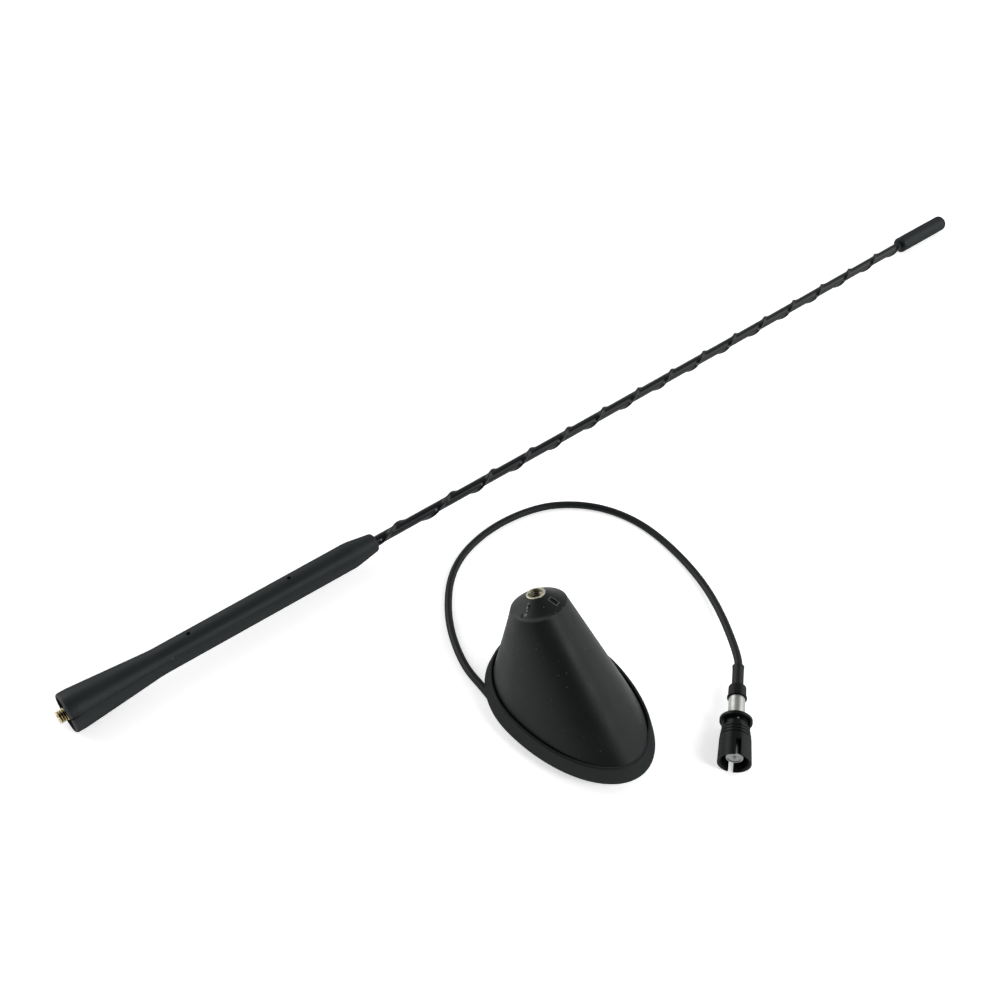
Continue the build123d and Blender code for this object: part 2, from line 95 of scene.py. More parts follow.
# Lead: given points of its route, in millimetres
LEAD_RADIUS = 1.45
LEAD_ROUTE = np.array(
    [
        (5.6, -2.1, 2.6),
        (5.6, -9.4, 2.6),
        (1.6, -15.9, 2.5),
        (-4.6, -19.2, 2.4),
        (-18.8, -17.4, 2.1),
        (-34.6, -16.4, LEAD_RADIUS),
        (-55.6, -7.4, LEAD_RADIUS),
        (-74.2, 9.5, LEAD_RADIUS),
        (-81.0, 32.3, LEAD_RADIUS),
        (-78.3, 56.0, LEAD_RADIUS),
        (-68.9, 70.8, LEAD_RADIUS),
        (-55.2, 80.4, LEAD_RADIUS),
        (-37.7, 84.3, LEAD_RADIUS),
        (-14.1, 82.2, LEAD_RADIUS),
        (5.9, 75.6, 2.4),
        tuple(PLUG_START - PLUG_DIR * 4.5),
        tuple(PLUG_START + PLUG_DIR * 3.0),
        tuple(PLUG_START + PLUG_DIR * 10.1),
    ]
)
lead_curve = bpy.data.curves.new("lead", "CURVE")
lead_curve.dimensions = "3D"
lead_curve.resolution_u = 16
lead_curve.bevel_depth = 1.0
lead_curve.bevel_resolution = 8
lead_curve.use_fill_caps = True
lead_line = lead_curve.splines.new("NURBS")
lead_line.points.add(len(LEAD_ROUTE) - 1)
lead_line.points.foreach_set("co", np.column_stack([LEAD_ROUTE * MM, np.ones(len(LEAD_ROUTE))]).ravel())
lead_line.points.foreach_set("radius", np.full(len(LEAD_ROUTE), LEAD_RADIUS * MM))
lead_line.order_u = 3
lead_line.use_endpoint_u = True
lead = bpy.data.objects.new("lead", lead_curve)
scene.collection.objects.link(lead)
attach(lead, "aerial")
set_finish(lead, "cable_jacket")
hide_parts("cable")


# Surface makers
def axis_frame(origin, axis, out, side):
    """A place maker for round forms: origin, plus length along the axis, plus radius along a direction
    that turns by the angle from out to side."""

    def place(radius, length, angle):
        radius, length, angle = np.broadcast_arrays(radius, length, angle)
        return (
            origin
            + length[..., None] * axis
            + (radius * np.cos(angle))[..., None] * out
            + (radius * np.sin(angle))[..., None] * side
        )

    return place


def rounded(corners, radii, steps=6):
    """A profile whose inner corners become arcs: an arc starts its radius times the tangent of half the
    turn before its corner, and its points are spread evenly over the turn."""
    corners = np.array(corners, float)
    points = [corners[:1]]
    for before, corner, after, radius in zip(corners[:-2], corners[1:-1], corners[2:], radii):
        way_in = (corner - before) / np.linalg.norm(corner - before)
        way_out = (after - corner) / np.linalg.norm(after - corner)
        turn = math.atan2(way_in[0] * way_out[1] - way_in[1] * way_out[0], way_in @ way_out)
        start = corner - way_in * radius * math.tan(abs(turn) / 2)
        inward = np.sign(turn) * np.array([-way_in[1], way_in[0]])
        angle = np.linspace(0, abs(turn), steps if radius > 0 else 1)[:, None]
        points.append(start + radius * (np.sin(angle) * way_in + (1 - np.cos(angle)) * inward))
    points.append(corners[-1:])
    return np.concatenate(points)


def spread(profile, step):
    """The same profile with points at most a step apart along each of its straight runs."""
    run = np.r_[0, np.cumsum(np.linalg.norm(np.diff(profile, axis=0), axis=1))]
    along = np.unique(np.round(np.r_[run, np.arange(0, run[-1], step)], 6))
    return np.column_stack([np.interp(along, run, column) for column in profile.T])


def ring_angles(count, *fine):
    """Evenly spread angles, with finer ones added within a half-width of each given angle."""
    extra = [centre + np.linspace(-half, half, steps) for centre, half, steps in fine]
    angles = np.mod(np.concatenate([np.arange(count) * TURN / count, *extra]), TURN)
    return np.unique(np.round(angles, 5))


def skin(name, grid, slot, replaces=(), loop=False, sharp=50, **painted_light):
    """A piece from a grid of points in millimetres: quads between neighbouring rows and columns. The
    columns close round, the rows too for a loop, and an end row that is all one point becomes a pole.
    Painted light of 0 to 1 at each point, as painted shade in recesses or a painted highlight on an edge, is
    kept as an attribute for the finish."""
    rows, columns = grid.shape[:2]
    number = np.arange(rows * columns).reshape(rows, columns)
    for end in (0, -1):
        if np.ptp(grid[end], axis=0).max() < 1e-6:
            number[end] = number[end, 0]
    upper = np.roll(number, -1, axis=0) if loop else number[1:]
    lower = number if loop else number[:-1]
    quads = np.stack([lower, np.roll(lower, -1, axis=1), np.roll(upper, -1, axis=1), upper], axis=-1)
    used, quads = np.unique(quads.reshape(-1, 4), return_inverse=True)
    quads = quads.reshape(-1, 4)
    first_pole = quads[:, 0] == quads[:, 1]
    last_pole = quads[:, 2] == quads[:, 3]
    faces = quads[~first_pole & ~last_pole].tolist()
    faces += quads[first_pole][:, 1:].tolist()
    faces += quads[last_pole][:, :3].tolist()
    mesh = bpy.data.meshes.new(name)
    mesh.from_pydata((grid.reshape(-1, 3)[used] * MM).tolist(), [], faces)
    shell = bmesh.new()
    shell.from_mesh(mesh)
    bmesh.ops.recalc_face_normals(shell, faces=shell.faces)
    shell.to_mesh(mesh)
    shell.free()
    for label, amount in painted_light.items():
        amount = np.broadcast_to(amount, (rows, columns)).ravel()[used]
        mesh.attributes.new(label, "FLOAT", "POINT").data.foreach_set("value", amount.astype(np.float32))
    mesh.shade_smooth()
    mesh.set_sharp_from_angle(angle=math.radians(sharp))
    piece = bpy.data.objects.new(name, mesh)
    scene.collection.objects.link(piece)
    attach(piece, "aerial")
    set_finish(piece, slot)
    if replaces:
        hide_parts(*replaces)
    return piece


def smooth_step(value):
    """0 to 1 with level ends: three times the square less twice the cube."""
    value = np.clip(value, 0, 1)
    return value * value * (3 - 2 * value)


def angle_between(angle, other, period=TURN):
    """The difference of two angles, brought to within half a period of zero."""
    return np.mod(angle - other + period / 2, period) - period / 2


def thread_tooth(phase):
    """One thread tooth over a phase of 0 to 1: a flat crest, straight flanks and a flat root."""
    return np.clip((np.abs(np.mod(phase, 1) - 0.5) * 2 - 0.14) / 0.72, 0, 1)


# Mast: lengths run from the flare's foot to the tip
straight_mast = axis_frame(MAST_FOOT, MAST_DIR, ALONG_X, np.cross(ALONG_X, MAST_DIR))
THREAD_R, THREAD_PITCH, TOOTH_DEPTH = 2.5, 0.8, 0.46
STUD_REACH, STUD_FOOT, STUD_END, ROD_SEAT = 3.8, 4.5, 24.0, 12.0
COLLAR_R, COLLAR_END, SHANK_R = 3.6, 6.0, 3.1
FLARE_R, FLARE_END, WAIST_R, WAIST = 7.75, 3.0, 5.25, 34.0
GRIP_R, GRIP_END, GRIP_NOSE_R, GRIP_LENGTH = 5.45, 117.7, 3.75, 129.0
HOLLOW_R, HOLLOW_MOUTH_R = 5.2, 6.6
PIN_MARKS, PIN_MARK_ANGLE = (48.1, 90.6), math.radians(97.0)
PIN_MARK_R, PIN_MARK_EDGE, PIN_MARK_DEPTH = 0.75, 0.14, 1.5
PARTING_ANGLE, PARTING_DEPTH, PARTING_HALF = math.radians(29.0), 0.2, 0.2
PARTING_LENGTHS = [0, 8, 30, 42, 58, 70, 92, 104, 129]
PARTING_SHARES = [1.0, 0.9, 0.9, 0.3, 0.3, 0.7, 0.7, 0.35, 0.3]
CORE_R, ROD_R, RIDGE_CREST, RIDGE_WIRE = 1.5, 1.98, 2.78, 0.42
RIDGE_MARK, RIDGE_MARK_ANGLE, RIDGE_PITCH, FIRST_PITCH = 168.9, math.radians(141.0), 21.07, 27.1
SHEATH_START, TIP_START, SHEATH_END = 117.0, 461.3, 473.3
RIDGE_START, RIDGE_RISE, RIDGE_FALL = 127.0, 6.0, 3.0
BOW, BOW_START = 1.0, 40.0
RIM_LIP = 1.0


def on_mast(radius, length, angle):
    """A place on the mast, which lies in a slight bow: half a sine wave sideways, from grip to tip."""
    share = np.clip((np.asarray(length) - BOW_START) / (TIP_START - BOW_START), 0, 1)
    sideways = np.broadcast_arrays(BOW * np.sin(math.pi * share), radius, angle)[0]
    return straight_mast(radius, length, angle) + sideways[..., None] * ALONG_X


def stud():
    """Brass stud: a turned profile whose front part loses a tooth depth where the thread's phase, the
    length over the pitch plus the angle over a turn, falls between crests."""
    front = rounded(
        [
            (0, -STUD_REACH),
            (2.1, -STUD_REACH),
            (THREAD_R, -3.35),
            (THREAD_R, STUD_FOOT),
        ],
        [0.15, 0.1],
        steps=4,
    )
    rear = rounded(
        [
            (THREAD_R, STUD_FOOT),
            (COLLAR_R, STUD_FOOT),
            (COLLAR_R, COLLAR_END),
            (SHANK_R, COLLAR_END),
            (SHANK_R, STUD_END),
            (CORE_R, STUD_END),
            (CORE_R, ROD_SEAT),
            (0, ROD_SEAT),
        ],
        [0.1, 0.1, 0, 0, 0, 0],
        steps=4,
    )
    profile = np.concatenate([spread(front, 0.045), rear[1:]])
    radius, length = profile[:, :1], profile[:, 1:]
    angle = ring_angles(96)[None]
    cut = np.clip((length + STUD_REACH) / 0.5, 0, 1) * np.clip((STUD_FOOT - 0.1 - length) / 0.3, 0, 1)
    groove = cut * (radius > 1.9) * (1 - thread_tooth(length / THREAD_PITCH + angle / TURN))
    grid = on_mast(radius - TOOTH_DEPTH * groove, length, angle)
    # Painted shade: the thread's roots are painted dark
    return skin("threaded_stud", grid, "brass", ["mast_stud"], hollow=groove)


def grip():
    """Rubber grip: one closed profile turned round the mast. Radius is lost in a round pit at each pin mark
    and in a narrow bell-shaped groove, deeper in some stretches, along both mould partings."""
    steps = 9
    outer = rounded(
        [
            (HOLLOW_R, STUD_FOOT),
            (HOLLOW_MOUTH_R, -RIM_LIP),
            (FLARE_R, -RIM_LIP),
            (FLARE_R, FLARE_END),
            (WAIST_R, WAIST),
            (GRIP_R, GRIP_END),
            (GRIP_NOSE_R, GRIP_LENGTH),
            (ROD_R, GRIP_LENGTH),
        ],
        [0.12, 1.1, 12.0, 60.0, 20.0, 1.2],
        steps,
    )
    rim, side, end = outer[: 2 * steps], outer[2 * steps : 5 * steps + 2], outer[5 * steps + 2 :]
    near_marks = [mark + np.linspace(-1.2, 1.2, 25) for mark in PIN_MARKS]
    lengths = np.unique(np.round(np.concatenate([side[:, 1], np.arange(4, 119, 0.75), *near_marks]), 4))
    side = np.column_stack([np.interp(lengths, side[:, 1], side[:, 0]), lengths])
    outside = np.concatenate([rim, side, end])
    inside = [
        (ROD_R, SHEATH_START),
        (CORE_R, SHEATH_START),
        (CORE_R, STUD_END),
        (SHANK_R, STUD_END),
        (SHANK_R, COLLAR_END),
        (COLLAR_R, COLLAR_END),
        (COLLAR_R, STUD_FOOT),
    ]
    profile = np.concatenate([outside, inside])
    radius, length = profile[:, :1], profile[:, 1:]
    partings = (PARTING_ANGLE, 0.12, 25), (PARTING_ANGLE + math.pi, 0.12, 25)
    angle = ring_angles(128, (PIN_MARK_ANGLE, 0.22, 23), *partings)[None]
    recess = smooth_step((7.2 - radius) / 0.35) * (length < STUD_FOOT + 0.1)
    on_side = (np.arange(len(profile)) < len(outside))[:, None] & (radius > 2.4) & (recess == 0)
    pits = [np.hypot(length - mark, GRIP_R * angle_between(angle, PIN_MARK_ANGLE)) for mark in PIN_MARKS]
    pit = on_side * np.clip((PIN_MARK_R - np.minimum(*pits)) / PIN_MARK_EDGE + 0.5, 0, 1)
    from_parting = angle_between(angle, PARTING_ANGLE, math.pi) * radius
    patchy = np.interp(length, PARTING_LENGTHS, PARTING_SHARES) * (0.8 + 0.2 * np.sin(2.1 * length))
    strength = smooth_step((GRIP_LENGTH - 1 - length) / 3) * (patchy + 1.4 * np.exp(-((length / 1.6) ** 2)))
    parting = on_side * strength * np.exp(-((from_parting / PARTING_HALF) ** 2))
    grid = on_mast(radius - PIN_MARK_DEPTH * pit - PARTING_DEPTH * parting, length, angle)
    # Painted shade: the pin marks, the parting grooves and the recess inside the rim are painted dark
    hollow = np.clip(pit + 0.8 * parting + recess, 0, 1)
    # Painted highlight: a pale band round the rim's lip
    lip = np.exp(-(((radius - 7.35) / 0.3) ** 2)) * (length < 0) * (1 - recess)
    return skin("grip", grid, "grip_rubber", ["mast_grip"], loop=True, hollow=hollow, rubbed=lip)


def core():
    """Glass fibre rod inside the sheath, which follows the mast's bow."""
    low, high = (np.array(corner)[1] / MM - MAST_FOOT[1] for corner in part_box("mast_core"))
    length = np.r_[low, low, np.linspace(low, high, 90), high, high][:, None]
    radius = np.full_like(length, CORE_R)
    radius[[0, -1]] = 0
    grid = on_mast(radius, length, ring_angles(24)[None])
    return skin("core_rod", grid, "core_fibre", ["mast_core"])


def ridge_radius(away):
    """Radius of a skin drawn tight over a rod and a wire along it, at an angle away from the wire: the
    wire's own circle near it, then the straight line that touches both, then the rod."""
    away = np.abs(away)
    centre = RIDGE_CREST - RIDGE_WIRE
    lean = np.arccos((ROD_R - RIDGE_WIRE) / centre)
    edge = np.arctan2(RIDGE_WIRE * np.sin(lean), centre + RIDGE_WIRE * np.cos(lean))
    near = np.minimum(away, edge)
    on_wire = centre * np.cos(near) + np.sqrt(np.maximum(RIDGE_WIRE**2 - (centre * np.sin(near)) ** 2, 0))
    on_line = ROD_R / np.cos(np.minimum(np.abs(lean - away), 1.2))
    return np.where(away < edge, on_wire, np.where(away < lean, on_line, ROD_R))


def sheath():
    """Mast sheath: a skin drawn tight over the rod and a wire wound round it. The wire's angle grows with
    the length, one left-handed turn for each pitch, with a longer first turn. The ridge fades at both
    ends."""
    ridge = np.arange(RIDGE_START, TIP_START + 1, 0.36)
    length = np.r_[SHEATH_START, 123.0, ridge, 468.0, SHEATH_END][:, None]
    angle = ring_angles(60)[None]
    pitch = np.where(length < RIDGE_MARK, FIRST_PITCH, RIDGE_PITCH)
    wire_angle = RIDGE_MARK_ANGLE + TURN * (length - RIDGE_MARK) / pitch
    rise, fall = (length - RIDGE_START) / RIDGE_RISE, (TIP_START - length) / RIDGE_FALL
    fade = smooth_step(rise) * smooth_step(fall)
    radius = ROD_R + fade * (ridge_radius(angle_between(angle, wire_angle)) - ROD_R)
    inner = on_mast(CORE_R, np.array([[SHEATH_END], [SHEATH_START]]), angle)
    grid = np.concatenate([on_mast(radius, length, angle), inner])
    return skin("spiral_sheath", grid, "sheath_plastic", ["mast_sheath"], loop=True, sharp=60)


# Base: the egg outline on the floor plane, and the leaning seat that the mast screws into
NOSE, TAIL, HALF_WIDTH = 41.8, 28.7, 23.4
GASKET_BOTTOM, GASKET_FLOOR, GASKET_TOP = 5.0, 7.0, 11.0
HOUSING_INSET, SEAM, NOSE_SEAM, OPEN_SEAM = 2.8, 0.5, 0.05, 0.80
SEAM_ANGLES = np.radians([-180, -60, -25, 29, 42, 80, 110, 180])
SEAM_WIDTHS = [SEAM, SEAM, NOSE_SEAM, NOSE_SEAM, OPEN_SEAM, OPEN_SEAM, SEAM, SEAM]
RIM_R, SOCKET_R, CAP_HEIGHT, SOCKET_STAND = 9.85, 3.35, 4.3, 0.15
BORE_R, BORE_DEPTH, BORE_CHAMFER, MOUTH_R = 2.1, 11.0, 0.55, 2.62
INSERT_R, INSERT_STEP, INSERT_DEPTH = 4.3, 3.0, 13.0
GASKET_BOTTOM_INSET, GASKET_TOP_INSET, GASKET_INNER_INSET, GASKET_FOOT = 1.5, 1.3, 5.0, 0.6
SEAT = SOCKET_MOUTH - SEAT_DIR * (CAP_HEIGHT + SOCKET_STAND)
SEAT_SIDE = np.cross(ALONG_Y, SEAT_DIR)
on_socket = axis_frame(SOCKET_MOUTH, SEAT_DIR, SEAT_SIDE, ALONG_Y)


def egg(inset, height, angle):
    """Places on the base's outline: an ellipse to the nose, another to the tail, smaller by the inset."""
    inset, height, angle = np.broadcast_arrays(inset, height, angle)
    reach = np.where(np.cos(angle) >= 0, NOSE, TAIL) - inset
    return np.stack([reach * np.cos(angle), (HALF_WIDTH - inset) * np.sin(angle), height], axis=-1)


def gasket():
    """Rubber gasket: one closed profile of inset and height carried round the egg outline. Its lip leans
    in or out with height, so that the seam to the housing closes at the nose and opens on one side."""
    seam_inset = HOUSING_INSET - SEAM
    profile = rounded(
        [
            (GASKET_BOTTOM_INSET, GASKET_BOTTOM),
            (-GASKET_FOOT, GASKET_BOTTOM),
            (GASKET_TOP_INSET, GASKET_TOP),
            (seam_inset, GASKET_TOP),
            (seam_inset, GASKET_FLOOR),
            (GASKET_INNER_INSET, GASKET_FLOOR),
            (GASKET_INNER_INSET, GASKET_BOTTOM),
            (GASKET_BOTTOM_INSET, GASKET_BOTTOM),
        ],
        [0.3, 0.7, 0.2, 0, 0, 0],
        steps=10,
    )[:-1]
    angle = ring_angles(320)[None]
    inset, height = profile[:, :1], profile[:, 1:]
    closing = SEAM - np.interp(angle_between(angle, 0), SEAM_ANGLES, SEAM_WIDTHS)
    lip = smooth_step((height - GASKET_FLOOR - 0.4) / 3.2) * (inset < 3)
    grid = egg(inset + closing * lip, height, angle)
    closed = np.clip(closing / (SEAM - NOSE_SEAM), 0, 1)
    # Painted highlight: a pale line along the top edge where the seam closes
    edge = closed * np.exp(-(((inset - seam_inset) / 0.3) ** 2)) * (height > 10.8)
    return skin("gasket", grid, "gasket_rubber", ["base_gasket"], loop=True, rubbed=0.5 * edge)


def socket():
    """Brass insert: a turned profile, open at the top, whose bore is wider by a tooth depth between the
    crests of its thread."""
    bore = spread(np.array([(BORE_R, -BORE_DEPTH), (BORE_R, -BORE_CHAMFER)]), 0.05)
    outside = rounded(
        [
            (BORE_R, -BORE_CHAMFER),
            (MOUTH_R, 0),
            (SOCKET_R, 0),
            (SOCKET_R, -INSERT_STEP),
            (INSERT_R, -INSERT_STEP),
            (INSERT_R, -INSERT_DEPTH),
            (0, -INSERT_DEPTH),
        ],
        [0.08, 0.16, 0, 0.1, 0.1],
        steps=5,
    )
    profile = np.concatenate([[(0, -BORE_DEPTH)], bore, outside[1:]])
    radius, length = profile[:, :1], profile[:, 1:]
    angle = ring_angles(96)[None]
    in_bore = (radius < BORE_R + 0.01) & (length > 0.1 - BORE_DEPTH) & (length < -0.5)
    tooth = thread_tooth(length / THREAD_PITCH - angle / TURN)
    groove = in_bore * np.clip((length + BORE_DEPTH - 0.5) / 0.6, 0, 1) * (1 - tooth)
    grid = on_socket(radius + TOOTH_DEPTH * groove, length, angle)
    # Painted shade: the thread's roots, the bore further in and the mouth's chamfer are painted dark
    chamfer = 0.75 * ((radius > 2.05) & (radius < 2.6) & (length > -0.6))
    depth = in_bore * np.clip((-length - 4.0) / 4.0, 0, 0.8)
    shade = np.maximum(np.maximum(0.8 * groove, depth), chamfer)
    return skin("threaded_socket", grid, "brass", ["mast_socket"], hollow=shade)


def cap_place(turn_degrees, rise):
    """A place on the cap's cone, with the ways down its slope, across it and out of it: at a turn from the
    nose, and a share of the way from rim to socket."""
    turn = math.radians(turn_degrees)
    out = SEAT_SIDE * math.cos(turn) + ALONG_Y * math.sin(turn)
    place = SEAT + SEAT_DIR * CAP_HEIGHT * rise + out * (RIM_R + (SOCKET_R - RIM_R) * rise)
    slope = out * (RIM_R - SOCKET_R) - SEAT_DIR * CAP_HEIGHT
    slope = slope / np.linalg.norm(slope)
    across = np.cross(SEAT_DIR, out)
    return place, slope, across, np.cross(slope, across)


def pocket_frame():
    """Raised edge round the cap's pocket: a low half-round profile carried round a superellipse of high
    power, which is a rectangle with round corners, on the plane that touches the cone there."""
    place, slope, across, normal = cap_place(19.5, 0.5)
    half_length, half_width, edge_half, edge_height = 1.70, 0.90, 0.13, 0.13
    way = np.linspace(0, TURN, 128, endpoint=False)[:, None]
    power = 0.16
    along = np.sign(np.cos(way)) * np.abs(np.cos(way)) ** power
    beside = np.sign(np.sin(way)) * np.abs(np.sin(way)) ** power
    around = np.linspace(0, TURN, 12, endpoint=False)[None]
    wide, high = edge_half * np.cos(around), edge_height * np.sin(around) + 0 * way
    grid = (
        place
        + (along * (half_length + wide))[..., None] * slope
        + (beside * (half_width + wide))[..., None] * across
        + high[..., None] * normal
    )
    return skin("pocket_frame", grid, "housing_plastic", loop=True, sharp=70)


# Plug: lengths run from the lead's end of the shrink sleeve to the mouth
on_plug = axis_frame(PLUG_START, PLUG_DIR, ALONG_Z, np.cross(ALONG_Z, PLUG_DIR))
SHRINK_R, SHRINK_LENGTH, SHRINK_FLARE = 2.06, 9.1, 0.1
BOOT_R, BOOT_RIM_R, BOOT_BORE_R, BOOT_RIM_START, BOOT_END = 3.12, 3.5, 2.4, 13.6, 14.3


def shrink_sleeve():
    """Shrink sleeve: a turned tube, a little wider at its cut end."""
    profile = rounded(
        [
            (LEAD_RADIUS, 5.0),
            (LEAD_RADIUS, 0),
            (SHRINK_R + SHRINK_FLARE, 0),
            (SHRINK_R + SHRINK_FLARE, 0.5),
            (SHRINK_R, 1.1),
            (SHRINK_R, SHRINK_LENGTH + 1),
            (LEAD_RADIUS, SHRINK_LENGTH + 1),
        ],
        [0.1, 0.12, 0.4, 0.8, 0.1],
    )
    grid = on_plug(profile[:, :1], profile[:, 1:], ring_angles(48)[None])
    return skin("shrink_sleeve", grid, "cable_jacket", ["cable_sleeve"], loop=True)


def boot():
    """Plug boot: a turned cup with a rounded shoulder and a raised rim."""
    profile = rounded(
        [
            (SHRINK_R, SHRINK_LENGTH + 1),
            (SHRINK_R, SHRINK_LENGTH),
            (BOOT_R, SHRINK_LENGTH),
            (BOOT_R + 0.08, BOOT_RIM_START - 0.05),
            (BOOT_RIM_R, BOOT_RIM_START),
            (BOOT_RIM_R, BOOT_END),
            (BOOT_BORE_R, BOOT_END),
            (BOOT_BORE_R, SHRINK_LENGTH + 1),
            (SHRINK_R, SHRINK_LENGTH + 1),
        ],
        [0.1, 0.55, 0.1, 0.12, 0.2, 0.1, 0],
    )[:-1]
    grid = on_plug(profile[:, :1], profile[:, 1:], ring_angles(64)[None])
    return skin("plug_boot_cup", grid, "plug_plastic", ["plug_boot"], loop=True)


PIECES = [stud(), core(), grip(), sheath(), gasket(), socket(), pocket_frame(), shrink_sleeve(), boot()]
PIECE = {piece.name: piece for piece in PIECES}


# Shader helpers
def node(tree, kind, inputs=(), **settings):
    """A node with its settings, and with values or links put on its inputs."""
    made = tree.nodes.new(kind)
    for label, value in settings.items():
        setattr(made, label, value)
    for label, value in dict(inputs).items():
        if isinstance(value, bpy.types.NodeSocket):
            tree.links.new(value, made.inputs[label])
        else:
            made.inputs[label].default_value = value
    return made


def maths(tree, operation, first, second=0.0):
    """The result of one sum on two values or links."""
    return node(tree, "ShaderNodeMath", {0: first, 1: second}, operation=operation).outputs[0]


def dot(tree, first, second):
    """The product of two directions: how far one lies along the other."""
    return node(tree, "ShaderNodeVectorMath", {0: first, 1: second}, operation="DOT_PRODUCT").outputs["Value"]


def colour_mix(tree, factor, first, second):
    """A colour between two colours or links, by a factor."""
    ends = [(*end, 1.0) if isinstance(end, tuple) else end for end in (first, second)]
    return node(tree, "ShaderNodeMix", {0: factor, 6: ends[0], 7: ends[1]}, data_type="RGBA").outputs[2]


def value_range(tree, value, low, high, start=0.0, stop=1.0):
    """A value carried from start and stop to low and high, without going past them."""
    limits = {"Value": value, "From Min": start, "From Max": stop, "To Min": low, "To Max": high}
    return node(tree, "ShaderNodeMapRange", limits).outputs["Result"]


def effect_group(name, inputs, outputs):
    """An empty shader node group with named inputs and outputs."""
    tree = bpy.data.node_groups.new(name, "ShaderNodeTree")
    for label, kind in inputs.items():
        tree.interface.new_socket(name=label, in_out="INPUT", socket_type="NodeSocket" + kind)
    for label in outputs:
        tree.interface.new_socket(name=label, in_out="OUTPUT", socket_type="NodeSocketFloat")
    return tree, tree.nodes.new("NodeGroupInput").outputs, tree.nodes.new("NodeGroupOutput").inputs


def moulded_grain():
    """Moulded grain: a fine noise as height, and a slow one as patches of tone and gloss."""
    tree, given, out = effect_group(
        "moulded_grain",
        {"Vector": "Vector", "Grain Size": "Float", "Patch Size": "Float"},
        ["Height", "Patches"],
    )
    for size, result in (("Grain Size", "Height"), ("Patch Size", "Patches")):
        scale = maths(tree, "DIVIDE", 1 / MM, given[size])
        noise = node(tree, "ShaderNodeTexNoise", {"Vector": given["Vector"], "Scale": scale, "Detail": 4.0})
        tree.links.new(noise.outputs["Fac"], out[result])
    return tree


def dust_specks():
    """Dust: round spots where the distance to the nearest of scattered cell centres is short, kept only in
    the cells whose random value is under the share."""
    tree, given, out = effect_group(
        "dust_specks",
        {"Vector": "Vector", "Spacing": "Float", "Spot": "Float", "Share": "Float"},
        ["Mask"],
    )
    scale = maths(tree, "DIVIDE", 1 / MM, given["Spacing"])
    cells = node(tree, "ShaderNodeTexVoronoi", {"Vector": given["Vector"], "Scale": scale})
    chance = node(tree, "ShaderNodeSeparateColor", {"Color": cells.outputs["Color"]})
    spot = maths(tree, "LESS_THAN", cells.outputs["Distance"], given["Spot"])
    kept = maths(tree, "LESS_THAN", chance.outputs[0], given["Share"])
    fading = maths(tree, "MULTIPLY", spot, chance.outputs[1])
    tree.links.new(maths(tree, "MULTIPLY", fading, kept), out["Mask"])
    return tree


def turned_marks():
    """Marks of a lathe tool: a noise of one dimension, the length along the axis."""
    tree, given, out = effect_group(
        "turned_marks", {"Vector": "Vector", "Axis": "Vector", "Pitch": "Float"}, ["Height"]
    )
    length = dot(tree, given["Vector"], given["Axis"])
    scale = maths(tree, "DIVIDE", 1 / MM, given["Pitch"])
    noise = node(
        tree,
        "ShaderNodeTexNoise",
        {"W": length, "Scale": scale, "Detail": 2.0},
        noise_dimensions="1D",
    )
    tree.links.new(noise.outputs["Fac"], out["Height"])
    return tree


def scuff_and_shade_spot():
    """A spot, for a scuff or for painted shade: full inside a reach round its centre and fading past it,
    broken up by a noise.
    """
    tree, given, out = effect_group(
        "scuff_and_shade_spot", {"Vector": "Vector", "Centre": "Vector", "Reach": "Float"}, ["Mask"]
    )
    away = node(tree, "ShaderNodeVectorMath", {0: given["Vector"], 1: given["Centre"]}, operation="DISTANCE")
    share = maths(tree, "DIVIDE", away.outputs["Value"], given["Reach"])
    noise = node(tree, "ShaderNodeTexNoise", {"Vector": given["Vector"], "Scale": 2500.0, "Detail": 3.0})
    ragged = maths(tree, "ADD", share, value_range(tree, noise.outputs["Fac"], -0.5, 0.5))
    tree.links.new(value_range(tree, ragged, 1.0, 0.0, 0.5, 1.0), out["Mask"])
    return tree


def rubbed_edge():
    """A painted highlight on an edge: strongest on a plane and gone at a reach from it, on the side that a
    direction points to."""
    tree, given, out = effect_group(
        "rubbed_edge",
        {"Vector": "Vector", "Centre": "Vector", "Axis": "Vector", "Toward": "Vector", "Reach": "Float"},
        ["Mask"],
    )
    away = node(tree, "ShaderNodeVectorMath", {0: given["Vector"], 1: given["Centre"]}, operation="SUBTRACT")
    height = dot(tree, away.outputs[0], given["Axis"])
    way = node(tree, "ShaderNodeVectorMath", {0: away.outputs[0]}, operation="NORMALIZE")
    side = dot(tree, way.outputs[0], given["Toward"])
    share = maths(tree, "DIVIDE", maths(tree, "ABSOLUTE", height), given["Reach"])
    band = value_range(tree, share, 1.0, 0.0)
    facing = value_range(tree, side, 0.0, 1.0, 0.55, 0.95)
    tree.links.new(maths(tree, "MULTIPLY", band, facing), out["Mask"])
    return tree


GRAIN = moulded_grain()
DUST = dust_specks()
TURNED = turned_marks()
SCUFF_AND_SHADE = scuff_and_shade_spot()
RIM_HIGHLIGHT = rubbed_edge()


def placed(tree, shared, inputs):
    """A shared effect placed in a material with its own values."""
    made = tree.nodes.new("ShaderNodeGroup")
    made.node_tree = shared
    for label, value in inputs.items():
        if isinstance(value, bpy.types.NodeSocket):
            tree.links.new(value, made.inputs[label])
        else:
            made.inputs[label].default_value = value
    return made.outputs


